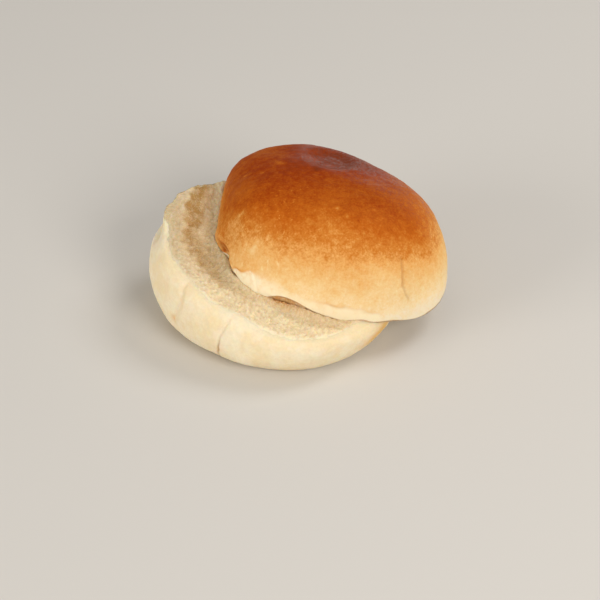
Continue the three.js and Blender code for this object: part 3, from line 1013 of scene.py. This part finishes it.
BOTTOM_CELLS, BOTTOM_ROWS = 165, 88
TOP_CELLS, TOP_ROWS = 158, 78
BOTTOM_CRUMB_CELLS, TOP_CRUMB_CELLS = 288, 200
FACE_SHARES = [1, 0.993, 0.985, 0.975, 0.965, 0.95, 0.935, 0.92, 0.9, 0.88, 0.85, 0.8, 0.4]
BASE_SHARES, SLAB_SHARES = [1, 0.97, 0.9, 0.75, 0.5, 0.25], [1, 0.7, 0.4]
FACE_SINK, CRUMB_SINK, SLAB_DEPTH, SLAB_SHARE, SLAB_ROWS = 2.0, 0.55, 3.0, 0.9, 3
BOTTOM_SEED, TOP_SEED = 0.0, 0.2

# Tints: rows of (degrees round the half, spread in degrees, strength)
WARM_SIDE = [(-170, 22, 0.2)]
WARM_RIM = [(-42, 12, 0.9), (-80, 16, 0.45), (-155, 12, 0.4)]
# Whiteness of the lip: a little of its own all round, and a painted highlight at the front
LIP_WHITE, LIP_HIGHLIGHTS = 0.1, [(-110, 10, 0.5)]
# Painted shade over the crumb at the high left, and a greyer painted shade there too
SHADE_LEFT, DIM_SHADE_LEFT = [(165, 26, 0.36)], [(172, 30, 0.65)]
# Painted shade in the crumb under the top half's notch, on the bottom and on the top crumb
SHADE_UNDER_FRONT, TOP_SHADE_UNDER = [(-75, 26, 0.34), (-90, 10, 0.75)], [(-86, 10, 0.85)]
TOP_CRUMB_SHADE, SHADE_FRONT = 0.3, [(-90, 14, 0.3)]
BURNT_EDGE = [(-115, 5.5, 1.0), (-58, 6, 0.4), (-41, 4, 0.2)]
# Painted shade on the crust's edge at the notch; and where the torn band turns paler, which also
# places painted sheen streaks
NOTCH_SHADE, BAND_FILM = [(-86, 4, 0.8)], [(-106, 13, 1.0), (-60, 40, 0.35)]
# Painted shade in the creases, and painted shade on the top crust's hidden underside
CREASE_SHADE, TOP_CREASE_SHADE, FACE_SHADE = 0.17, 0.26, 0.6
# A warmer tint low down; and a warmer painted shade on one side of the fold, turned a little off it
LOW_WARMTH, FOLD_SHADE_WARMTH, FOLD_SHADE_TURN = 0.15, 0.55, math.radians(1.5)

# A darker stretch of the painted shade in a crease: degrees round, level in mm, degrees wide, mm
# tall, strength
CREASE_PITS = [(-122, 9, 1.4, 3.2, 0.6)]

# How far the skin rolls in over the crumb, in mm: (degrees round, spread, more or less)
SKIN_COVER = 0.9
SKIN_COVER_CHANGES = [(-111, 8, 2.2), (-150, 14, 1.0), (-38, 13, 3.0)]
TORN_MIDDLE, TORN_SPAN, TORN_END, TORN_COVER_LOSS = 124, (60, 44), (171, 167), 1.1
CRUMB_SPILL, SPILL_POWER, SPILL_RISE = 0.9, 20, 0.4
TOP_SKIN_COVER, TOP_CRUMB_REACH, BOTTOM_CRUMB_REACH, EDGE_TUCK = 0.1, 0.99, 0.994, 0.05

# The painted shadow of the top half on the crumb beside it: (degrees round, width in mm, strength)
PAINTED_SHADOW_STRIP = [
    (120, 9, 0.8), (140, 12, 1.1), (152, 14.5, 1.2), (165, 14.5, 0.95), (180, 14.5, 0.84),
    (200, 12.5, 0.76), (210, 10.3, 0.62), (224, 8.3, 0.41), (238, 6, 0.25), (256, 2.8, 0.12),
    (272, 3.6, 0.18), (286, 6.5, 0.34), (302, 6.0, 0.34), (318, 3, 0.2), (332, 1, 0.08),
]
# The painted shadow's edge wanders, and it is darkest in the hollow a little way out
SHADOW_SWELL, SHADOW_MIDDLE, SHADOW_SPREAD = (5.0, 11), 0.72, 0.3
NEST_REACH, CRUMB_RISE = 1.3, 0.1
NEST_RISE, NEST_RISES = 0.4, [
    (190, 45, 0.5), (138, 15, 1.4), (188, 18, 1.9), (226, 14, 1.7), (-103, 6, 0.7), (-92, 8, 1.7),
    (-72, 9, 2.5),
]

# The crumb's tufts are drawn out from front to back, the way the halves were torn apart
CRUMB_STRETCH = (0.95, 1.3, 1.2)

# The top half's crumb hangs to this many mm above the face, which is a little way into it. It
# starts to hang at the first distance in mm from its rim, and hangs fully from the second.
HANG_GAP, HANG_REACH = -0.2, (0.1, 1.5)


def inside_rim(points, rim):
    """Distance in mm from the rim in towards the middle, as seen from above."""
    return reach_of(rim) - reach_of(points)


def beside_top(points, angle):
    """The painted shadow beside the top half, and the ridge pressed up along its rim, 0 to 1."""
    away = np.full(angle.shape, np.inf)
    for x, y, _ in top_to_roll(top_rim(np.radians(np.arange(0, 360, 1.0)))):
        away = np.minimum(away, np.hypot(points[..., 0] - x, points[..., 1] - y))
    degrees, reach, strength = np.transpose(PAINTED_SHADOW_STRIP)
    reach = np.interp(np.degrees(angle) % 360, degrees, reach, period=360)
    strength = np.interp(np.degrees(angle) % 360, degrees, strength, period=360)
    nest = bell(away / NEST_REACH)
    away = away + swell(points, *SHADOW_SWELL)
    hollow = np.exp(-((away / reach - SHADOW_MIDDLE) / SHADOW_SPREAD) ** 2)
    strength = strength * smoothstep(1.2 * reach + 0.5, 0.7 * reach, away)
    even = 0.65 - 0.5 * smoothstep(62, 45, np.abs(turn_between(angle, 120)))
    return strength * (even + (1 - even) * hollow), nest


# The lip's own slight whiteness, with its painted highlight at the front
def lip_and_highlight(angle):
    return LIP_WHITE + bells_round(LIP_HIGHLIGHTS, angle)


def torn_rim(angle):
    """Where the crumb is torn right over the rim of the bottom half, 0 to 1."""
    near = smoothstep(*TORN_SPAN, np.abs(turn_between(angle, TORN_MIDDLE)))
    return near * smoothstep(*TORN_END, np.degrees(angle))


def skin_cover(angle):
    change = bells_round(SKIN_COVER_CHANGES, angle)
    return SKIN_COVER + change - TORN_COVER_LOSS * torn_rim(angle)


def joined(lower, upper):
    """A plain side that joins the rims of two discs."""
    def side(angle, share):
        low, high = lower(1, angle), upper(1, angle)
        return low + (high - low) * share[..., None]
    return side


def finish_crumb(context, piece, node, seed):
    """Tears up the faces of a crumb piece where its mask allows, and settles it."""
    settings = context.scene.roll_crumb
    material = crumb_material(settings, context.scene.roll_crust)
    bake_nodes(piece, relief_tree(), {
        "Lump Size": settings.coarse_size, "Lump Depth": settings.coarse_depth,
        "Tuft Size": settings.tuft_size, "Tuft Depth": settings.tuft_depth,
        "Seed": seed, "Stretch": CRUMB_STRETCH, "Material": material,
    })
    settle(piece, node, material)


def sink_skin(points, inside, cover, direction):
    """Takes the skin's face down out of the way, inside the margin that it covers."""
    start = cover + 0.5 * smoothstep(0.2, 0.6, cover)
    sunk = FACE_SINK * smoothstep(start, start + 1.5, inside)
    return points - direction * sunk[..., None]


def sink_crumb(points, inside, cover, direction):
    """Takes the crumb's edge down below the skin that covers it."""
    sunk = CRUMB_SINK * smoothstep(cover + 0.8, cover - 0.8, inside)
    return points - direction * sunk[..., None]


class ROLL_OT_bottom_crust(bpy.types.Operator):
    """Build the pale skin of the bottom half"""
    bl_idname = "roll.bottom_crust"
    bl_label = "Bottom Crust"

    def execute(self, context):
        def face(share, angle):
            rim = bottom_rim(angle)
            points = bottom_face(share, angle, rim)
            inside = inside_rim(points, rim)
            rough = ripples(FACE_RIPPLES, points) * smoothstep(0.3, 2.0, inside)
            points = points + CUT_NORMAL * rough[..., None]
            return sink_skin(points, inside, skin_cover(angle), CUT_NORMAL)

        points, faces, part = closed_form(
            BOTTOM_ROWS, disc_fan(BOTTOM_CELLS, BASE_SHARES), bottom_base, bottom_wall,
            disc_fan(BOTTOM_CELLS, FACE_SHARES), face,
        )
        angle = angle_of(points)
        below = np.where(part == 2, 0, -above_cut(points))
        _, crease = crease_depth(BOTTOM_CREASES[:1], points, angle)
        # The fold's mask, turned to one side for its painted shade
        _, fold = crease_depth(BOTTOM_CREASES[1:], points, angle - FOLD_SHADE_TURN)
        warm = LOW_WARMTH * smoothstep(7, 1, points[:, 2]) + bells_round(WARM_SIDE, angle)
        warm += bells_round(WARM_RIM, angle) * smoothstep(6, 1, below) + FOLD_SHADE_WARMTH * fold
        # Painted shade in the crack, darker at its foot
        crease = CREASE_SHADE * crease + spots_round(CREASE_PITS, points, angle) * crease
        # The whitish lip, its own and a painted highlight
        lip = smoothstep(4.0, 0.5, below + 0.8 * swell(points, 7.0, 4))
        piece = new_piece("bottom_crust", points, faces, {
            "crease": np.clip(crease, 0, 1) * (part == 1),
            "lip": lip_and_highlight(angle) * lip,
            "warm": np.clip(warm, 0, 1),
            "toast": np.clip(spots_round(TOASTED_SPOTS, points, angle), 0, 1) * (part == 1),
        })
        settle(piece, BOTTOM_NODE, pale_crust_material(context.scene.roll_crust))
        return {"FINISHED"}


class ROLL_OT_bottom_crumb(bpy.types.Operator):
    """Build the torn crumb face of the bottom half"""
    bl_idname = "roll.bottom_crumb"
    bl_label = "Bottom Crumb"

    def execute(self, context):
        def face(share, angle):
            rim = bottom_rim(angle)
            points = bottom_face(share * BOTTOM_CRUMB_REACH, angle, rim)
            points = sink_crumb(points, inside_rim(points, rim), skin_cover(angle), CUT_NORMAL)
            _, nest = beside_top(points, angle)
            rise = CRUMB_RISE + (NEST_RISE + bells_round(NEST_RISES, angle)) * nest
            points = points + CUT_NORMAL * rise[..., None]
            spill = CRUMB_SPILL * torn_rim(angle) * share ** SPILL_POWER
            return points + polar(spill, angle, SPILL_RISE * spill)

        def slab(share, angle):
            return bottom_face(share * SLAB_SHARE, angle) - CUT_NORMAL * SLAB_DEPTH

        points, faces, part = closed_form(
            SLAB_ROWS, disc_fan(BOTTOM_CRUMB_CELLS, SLAB_SHARES), slab, joined(slab, face),
            disc_grid(BOTTOM_CRUMB_CELLS), face,
        )
        angle = angle_of(points)
        cover = skin_cover(angle)
        inside = inside_rim(points, bottom_rim(angle))
        ragged = inside + 0.5 * swell(points, 6.0, 9)
        torn = torn_rim(angle)
        # The top half's painted shadow on the crumb, and the ridge along its rim
        shade, nest = beside_top(points, angle)
        lip = smoothstep(cover + 2.2, cover - 0.3, ragged) * (1 - 0.6 * torn)
        # Greyer painted shade near the high left rim, where the painted shadow is not
        dull = bells_round(DIM_SHADE_LEFT, angle) * (1 - np.clip(shade, 0, 1))
        piece = new_piece("bottom_crumb", points, faces, {
            "torn": np.maximum(smoothstep(cover - 0.8, cover + 1.8, ragged), torn) * (part == 2),
            "lip": lip_and_highlight(angle) * lip,
            "shade": np.clip(np.maximum(shade, bells_round(SHADE_LEFT, angle)), 0, 1),
            # Painted shade below the notch, along the ridge
            "deep": nest * bells_round(SHADE_UNDER_FRONT, angle),
            "dull": dull * smoothstep(9, 5, inside),
        })
        finish_crumb(context, piece, BOTTOM_NODE, BOTTOM_SEED)
        return {"FINISHED"}


class ROLL_OT_top_crust(bpy.types.Operator):
    """Build the browned skin of the top half"""
    bl_idname = "roll.top_crust"
    bl_label = "Top Crust"

    def execute(self, context):
        def face(share, angle):
            rim = top_rim(angle)
            points = top_face(share, angle, rim)
            return sink_skin(points, inside_rim(points, rim), TOP_SKIN_COVER, -CUT_NORMAL)

        points, faces, part = closed_form(
            TOP_ROWS, disc_fan(TOP_CELLS, FACE_SHARES), face, top_wall, disc_grid(TOP_CELLS),
            top_crown,
        )
        angle = angle_of(points)
        skin = part > 0
        drift = BROWNING_SHIFT + 0.5 * swell(points, 17, 6) + bells_round(BROWNING_ROUND, angle)
        # Browner and paler patches, with the painted glints
        drift += patches(BROWNING_PATCHES + PAINTED_GLINTS_AND_SPOTS, points)
        softness = 0.6 + 2.4 * smoothstep(0.5, 0.1, band_step(angle))
        over = above_cut(points) - ragged_edge(points, angle)
        line = bell((over - 0.2) / 0.6) * smoothstep(0.3, 1.2, crust_edge(angle))
        # Painted shade on the crust's edge at the notch
        notch = bells_round(NOTCH_SHADE, angle) * smoothstep(1.6, 0.8, above_cut(points))
        # The crease's mask, for its painted shade
        _, crease = crease_depth(TOP_CREASES[:1], points, angle)
        glaze = smoothstep(0, 10, points[:, 1] + 0.2 * points[:, 0])
        piece = new_piece("top_crust", top_to_roll(points), faces, {
            "bake": np.clip(bake_share(points[:, 2] + drift), 0, 1),
            "glaze": glaze * smoothstep(-20, -8, points[:, 0]),
            "band": band_mask(points, angle, softness),
            "edge": np.clip(line * bells_round(BURNT_EDGE, angle), 0, 1) * skin,
            # The dark fold, painted shade at the notch, and painted shade on the hidden underside
            "burn": np.where(skin, np.clip(fold_share(points, angle) + notch, 0, 1), FACE_SHADE),
            "crease": TOP_CREASE_SHADE * crease * skin,
            "film": bells_round(BAND_FILM, angle) * skin,
        })
        settle(piece, TOP_NODE, baked_crust_material(context.scene.roll_crust))
        return {"FINISHED"}


def hang_crumb(points, inside):
    """Lets the torn crumb of the top half hang down into the bottom half's face, behind its rim."""
    placed = top_to_roll(points)
    rim = bottom_rim(angle_of(placed), creased=False)
    over = smoothstep(1.0, 0.93, reach_of(placed) / reach_of(rim))
    spare = placed[..., 2] - rest_level(placed[..., 0], placed[..., 1]) - HANG_GAP
    placed[..., 2] -= np.maximum(spare, 0) * over * smoothstep(*HANG_REACH, inside)
    return roll_to_top(placed)


class ROLL_OT_top_crumb(bpy.types.Operator):
    """Build the torn underside of the top half"""
    bl_idname = "roll.top_crumb"
    bl_label = "Top Crumb"

    def execute(self, context):
        def face(share, angle):
            rim = top_rim(angle)
            points = top_face(share * TOP_CRUMB_REACH, angle, rim)
            return hang_crumb(points + CUT_NORMAL * EDGE_TUCK, inside_rim(points, rim))

        def slab(share, angle):
            return top_face(share * SLAB_SHARE, angle) + CUT_NORMAL * SLAB_DEPTH

        points, faces, part = closed_form(
            SLAB_ROWS, disc_grid(TOP_CRUMB_CELLS), face, joined(face, slab),
            disc_fan(TOP_CRUMB_CELLS, SLAB_SHARES), slab,
        )
        angle = angle_of(points)
        rim = top_rim(angle)
        inside = inside_rim(points, rim)
        free = top_to_roll(rim)
        spare = free[:, 2] - rest_level(free[:, 0], free[:, 1]) - TOP_CLEARANCE
        torn = smoothstep(-0.5, 0.6, inside + 0.6 * swell(points, 6.0, 9))
        piece = new_piece("top_crumb", top_to_roll(points), faces, {
            "torn": torn * smoothstep(0.0, 1.0, spare) * (part == 0),
            "lip": np.zeros_like(angle),
            # Painted shade over the underside, darkest up in the notch
            "shade": TOP_CRUMB_SHADE + bells_round(SHADE_FRONT, angle),
            "deep": bells_round(TOP_SHADE_UNDER, angle) * smoothstep(3.0, 0.3, inside),
        })
        finish_crumb(context, piece, TOP_NODE, TOP_SEED)
        return {"FINISHED"}


# ---- The stage ----

CAMERA_TARGET = Vector((8.145, 7.754, 0)) * MM
CAMERA_ELEVATION = math.radians(36)
CAMERA_DISTANCE = 0.984
CAMERA_SENSOR = 36.0
CAMERA_VIEW_WIDTH = 249 * MM  # at the target
FLOOR_REACH = 3.0
SKY_COLOUR = (1.0, 0.985, 0.96)
LIT_POINT = (0.005, 0.005, 0.03)

# Lights: name, place in metres, size in metres, colour
LIGHTS = [
    ("Key", (0.70, -1.0, 0.78), 0.7, (1.0, 0.975, 0.94)),
    ("Fill", (-1.15, -0.65, 0.40), 0.8, (1.0, 0.98, 0.95)),
    ("Top", (0.72, 0.35, 1.05), 0.6, (1.0, 0.98, 0.96)),
    ("Back", (0.25, 1.5, 0.13), 0.6, (1.0, 0.99, 0.98)),
]


def aim(thing, target):
    thing.rotation_euler = (Vector(target) - thing.location).to_track_quat("-Z", "Y").to_euler()


def area_light(name, place, target, size, power, colour):
    light = bpy.data.lights.new(name, "AREA")
    light.shape = "DISK"
    light.size = size
    light.energy = power
    light.color = colour
    lamp = bpy.data.objects.new(name, light)
    lamp.location = place
    bpy.context.scene.collection.objects.link(lamp)
    aim(lamp, target)
    return lamp


class ROLL_OT_stage(bpy.types.Operator):
    """Build the floor, the lights and the camera"""
    bl_idname = "roll.stage"
    bl_label = "Stage"

    def execute(self, context):
        scene = context.scene
        settings = scene.roll_stage
        mesh = bpy.data.meshes.new("floor")
        corners = [(-1, -1, 0), (1, -1, 0), (1, 1, 0), (-1, 1, 0)]
        mesh.from_pydata(np.array(corners) * FLOOR_REACH, [], [range(4)])
        floor = bpy.data.objects.new("floor", mesh)
        scene.collection.objects.link(floor)
        material, tree, shader = new_material("floor")
        tree.fill(shader, {
            "Base Color": settings.floor_colour, "Roughness": 0.75, "Specular IOR Level": 0.2,
        })
        mesh.materials.append(material)

        world = bpy.data.worlds.new("Soft Sky")
        world.use_nodes = True
        background = world.node_tree.nodes["Background"]
        background.inputs["Color"].default_value = opaque(SKY_COLOUR)
        background.inputs["Strength"].default_value = settings.sky_strength
        scene.world = world
        for name, place, size, colour in LIGHTS:
            power = getattr(settings, name.lower() + "_power")
            area_light(name, place, LIT_POINT, size, power, colour)

        camera = bpy.data.cameras.new("Camera")
        camera.sensor_width = CAMERA_SENSOR
        camera.lens = CAMERA_SENSOR * CAMERA_DISTANCE / CAMERA_VIEW_WIDTH
        eye = bpy.data.objects.new("Camera", camera)
        away = Vector((0, -math.cos(CAMERA_ELEVATION), math.sin(CAMERA_ELEVATION)))
        eye.location = CAMERA_TARGET + away * CAMERA_DISTANCE
        scene.collection.objects.link(eye)
        aim(eye, CAMERA_TARGET)
        scene.camera = eye
        scene.view_settings.view_transform = "Standard"
        return {"FINISHED"}


class ROLL_PT_panel(bpy.types.Panel):
    """The roll's settings and the buttons that build it"""
    bl_label = "Bread Roll"
    bl_idname = "ROLL_PT_panel"
    bl_space_type = "VIEW_3D"
    bl_region_type = "UI"
    bl_category = "Bread Roll"

    def draw(self, context):
        scene = context.scene
        for settings in (scene.roll_crust, scene.roll_crumb, scene.roll_stage):
            box = self.layout.box()
            for name in settings.__annotations__:
                box.prop(settings, name)
        for operator in OPERATORS:
            self.layout.operator(operator.bl_idname)


OPERATORS = (
    ROLL_OT_bottom_crust, ROLL_OT_bottom_crumb, ROLL_OT_top_crust, ROLL_OT_top_crumb, ROLL_OT_stage,
)
CLASSES = (RollCrustSettings, RollCrumbSettings, RollStageSettings, *OPERATORS, ROLL_PT_panel)


def register():
    for one_class in CLASSES:
        bpy.utils.register_class(one_class)
    bpy.types.Scene.roll_crust = bpy.props.PointerProperty(type=RollCrustSettings)
    bpy.types.Scene.roll_crumb = bpy.props.PointerProperty(type=RollCrumbSettings)
    bpy.types.Scene.roll_stage = bpy.props.PointerProperty(type=RollStageSettings)


def unregister():
    del bpy.types.Scene.roll_stage
    del bpy.types.Scene.roll_crumb
    del bpy.types.Scene.roll_crust
    for one_class in reversed(CLASSES):
        bpy.utils.unregister_class(one_class)


def main():
    register()
    bpy.ops.roll.bottom_crust()
    bpy.ops.roll.bottom_crumb()
    bpy.ops.roll.top_crust()
    bpy.ops.roll.top_crumb()
    bpy.ops.roll.stage()


if __name__ == "__main__":
    main()
